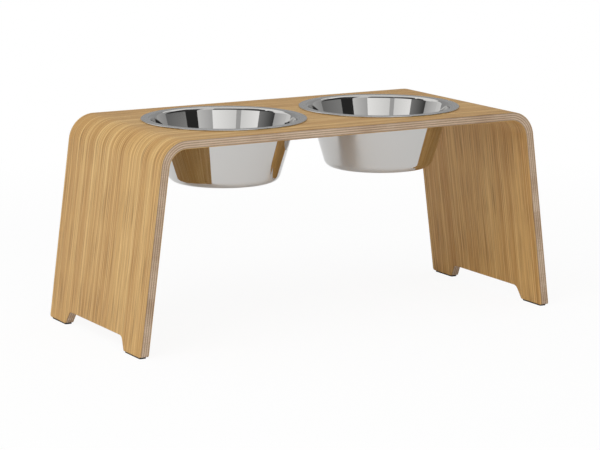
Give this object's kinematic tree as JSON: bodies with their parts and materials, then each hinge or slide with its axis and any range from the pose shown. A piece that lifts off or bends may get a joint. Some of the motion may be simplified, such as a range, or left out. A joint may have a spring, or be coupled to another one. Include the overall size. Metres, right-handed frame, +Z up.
{
  "type": "pet feeder bench",
  "caption": "Low bench of bent oak-faced plywood with splayed legs and lift-out steel bowls that hang by their rims in round holes in its top.",
  "frame": {"origin": "on the floor, under the middle of the bench", "axes": "+X along the bench to the right, +Y from front to back, +Z up"},
  "size_m": [0.6, 0.26, 0.264],
  "materials": {
    "oak_face": "satin clear lacquer",
    "cross_ply": "sanded edge, clear lacquer",
    "long_ply": "sanded edge, clear lacquer",
    "bowl_steel": "polished",
    "pad_rubber": "matte"
  },
  "bodies": {
    "bench": {"outer_face_veneer": "oak_face", "core_ply_1": "cross_ply", "core_ply_2": "long_ply", "core_ply_3": "cross_ply", "core_ply_4": "long_ply", "core_ply_5": "cross_ply", "core_ply_6": "long_ply", "core_ply_7": "cross_ply", "inner_face_veneer": "oak_face", "pad_left_front": "pad_rubber", "pad_left_back": "pad_rubber", "pad_right_front": "pad_rubber", "pad_right_back": "pad_rubber"},
    "left_bowl": {"bowl_left": "bowl_steel"},
    "right_bowl": {"bowl_right": "bowl_steel"}
  },
  "joints": [
    {"name": "left_bowl_lift", "type": "slide", "parent": "bench", "child": "left_bowl", "axis": [0, 0, 1], "range_m": [0, 0.1]},
    {"name": "right_bowl_lift", "type": "slide", "parent": "bench", "child": "right_bowl", "axis": [0, 0, 1], "range_m": [0, 0.1]}
  ]
}
